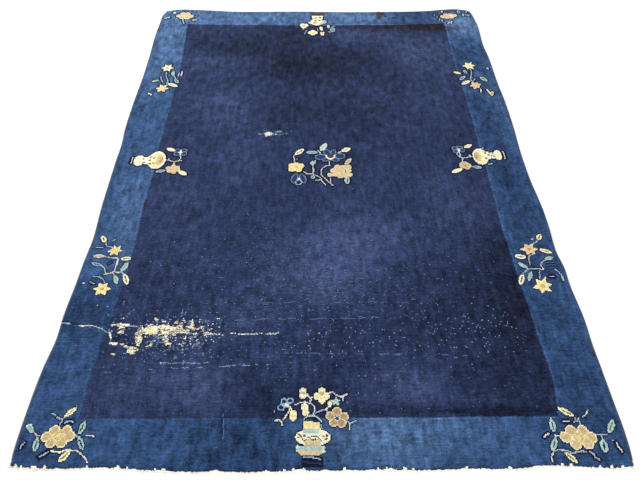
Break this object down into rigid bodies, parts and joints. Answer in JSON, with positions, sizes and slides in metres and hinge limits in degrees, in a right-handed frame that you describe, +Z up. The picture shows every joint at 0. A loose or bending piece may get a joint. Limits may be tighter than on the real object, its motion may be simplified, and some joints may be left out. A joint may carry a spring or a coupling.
{
  "type": "chinese art deco rug",
  "caption": "Hand-knotted wool rug lying flat: navy field, mid-blue border with flower sprays and vases, wrapped sides, a bound end and a worn fringed end.",
  "frame": {"origin": "on the floor under the middle of the rug", "axes": "+Y along the rug's length towards its bound end, +X across it, +Z up out of the pile"},
  "size_m": [1.5687, 2.136, 0.0145],
  "materials": {
    "wool_pile": "clipped wool pile, dry sheen, worn in places",
    "overcast_yarn": "wrapped wool yarn, matt",
    "binding_yarn": "overcast yarn, matt",
    "cotton_warp": "unbleached cotton, frayed"
  },
  "bodies": {
    "root": {"rug_pile": "wool_pile", "selvedge_left": "overcast_yarn", "selvedge_right": "overcast_yarn", "end_binding_far": "binding_yarn", "fringe_near": "cotton_warp", "corner_tuft_left": "cotton_warp", "corner_tuft_right": "cotton_warp"}
  },
  "joints": []
}
